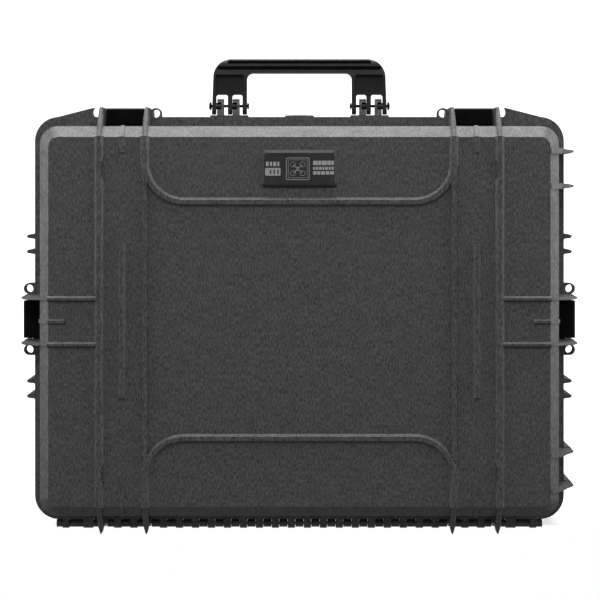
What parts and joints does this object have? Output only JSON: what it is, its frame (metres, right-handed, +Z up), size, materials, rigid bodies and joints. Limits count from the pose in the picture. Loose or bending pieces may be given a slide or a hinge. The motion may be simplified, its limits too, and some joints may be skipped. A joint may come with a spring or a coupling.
{
  "type": "drone carrying case",
  "caption": "Hard plastic carrying case with a hinged lid, over-centre draw latches, a folding handle, a pressure valve and cut foam for a drone.",
  "frame": {"origin": "bottom centre of the bounding box: on the floor under the case, which stands on its hinge side with the handle up", "axes": "+X to the viewer's right along the case's width, +Y from the lid's face back into the base, +Z up from the hinge to the handle"},
  "size_m": [0.688, 0.277, 0.5905],
  "materials": {
    "case_plastic": "matt, fine moulded grain",
    "trim_plastic": "satin",
    "steel": "bright",
    "foam": "open-cell foam, matt",
    "soft_rubber": "matt"
  },
  "bodies": {
    "base": {"base_shell": "case_plastic", "base_lock_eyes": "case_plastic", "base_foam_floor": "foam", "base_foam_insert": "foam", "hinge_pin": "steel", "valve_housing": "trim_plastic", "valve_cap": "soft_rubber", "valve_seal": "soft_rubber", "valve_nut": "trim_plastic", "handle_pins": "steel", "latch_pins_front_left": "steel", "latch_pins_front_right": "steel", "latch_pins_side_left": "steel", "latch_pins_side_right": "steel"},
    "lid": {"lid_shell": "case_plastic", "lid_lock_eyes": "case_plastic", "lid_gasket": "soft_rubber", "lid_foam": "foam", "badge_plate": "trim_plastic"},
    "handle": {"handle_frame": "trim_plastic", "handle_grip_strips": "soft_rubber"},
    "lever_front_left": {"latch_lever_front_left": "trim_plastic", "latch_link_pin_front_left": "steel"},
    "hook_front_left": {"latch_hook_front_left": "trim_plastic"},
    "lever_front_right": {"latch_lever_front_right": "trim_plastic", "latch_link_pin_front_right": "steel"},
    "hook_front_right": {"latch_hook_front_right": "trim_plastic"},
    "lever_side_left": {"latch_lever_side_left": "trim_plastic", "latch_link_pin_side_left": "steel"},
    "hook_side_left": {"latch_hook_side_left": "trim_plastic"},
    "lever_side_right": {"latch_lever_side_right": "trim_plastic", "latch_link_pin_side_right": "steel"},
    "hook_side_right": {"latch_hook_side_right": "trim_plastic"}
  },
  "joints": [
    {"name": "lid_hinge", "type": "hinge", "parent": "base", "child": "lid", "pos_m": [0, -0.0765, 0.0076], "axis": [1, 0, 0], "range_deg": [0, 105]},
    {"name": "handle_hinge", "type": "hinge", "parent": "base", "child": "handle", "pos_m": [0, -0.0385, 0.531], "axis": [-1, 0, 0], "range_deg": [0, 90]},
    {"name": "lever_hinge_front_left", "type": "hinge", "parent": "base", "child": "lever_front_left", "pos_m": [-0.217, -0.0615, 0.5175], "axis": [1, 0, 0], "range_deg": [0, 115]},
    {"name": "hook_hinge_front_left", "type": "hinge", "parent": "lever_front_left", "child": "hook_front_left", "pos_m": [-0.217, -0.0445, 0.5168], "axis": [-1, 0, 0], "range_deg": [0, 115]},
    {"name": "lever_hinge_front_right", "type": "hinge", "parent": "base", "child": "lever_front_right", "pos_m": [0.217, -0.0615, 0.5175], "axis": [1, 0, 0], "range_deg": [0, 115]},
    {"name": "hook_hinge_front_right", "type": "hinge", "parent": "lever_front_right", "child": "hook_front_right", "pos_m": [0.217, -0.0445, 0.5168], "axis": [-1, 0, 0], "range_deg": [0, 115]},
    {"name": "lever_hinge_side_left", "type": "hinge", "parent": "base", "child": "lever_side_left", "pos_m": [-0.3345, -0.0615, 0.2635], "axis": [0, 0, 1], "range_deg": [0, 115]},
    {"name": "hook_hinge_side_left", "type": "hinge", "parent": "lever_side_left", "child": "hook_side_left", "pos_m": [-0.3338, -0.0445, 0.2635], "axis": [0, 0, -1], "range_deg": [0, 115]},
    {"name": "lever_hinge_side_right", "type": "hinge", "parent": "base", "child": "lever_side_right", "pos_m": [0.3345, -0.0615, 0.2635], "axis": [0, 0, -1], "range_deg": [0, 115]},
    {"name": "hook_hinge_side_right", "type": "hinge", "parent": "lever_side_right", "child": "hook_side_right", "pos_m": [0.3338, -0.0445, 0.2635], "axis": [0, 0, 1], "range_deg": [0, 115]}
  ],
  "couplings": [
    {"joint": "hook_hinge_front_left", "follows": "lever_hinge_front_left", "ratio": 1},
    {"joint": "hook_hinge_front_right", "follows": "lever_hinge_front_right", "ratio": 1},
    {"joint": "hook_hinge_side_left", "follows": "lever_hinge_side_left", "ratio": 1},
    {"joint": "hook_hinge_side_right", "follows": "lever_hinge_side_right", "ratio": 1}
  ]
}
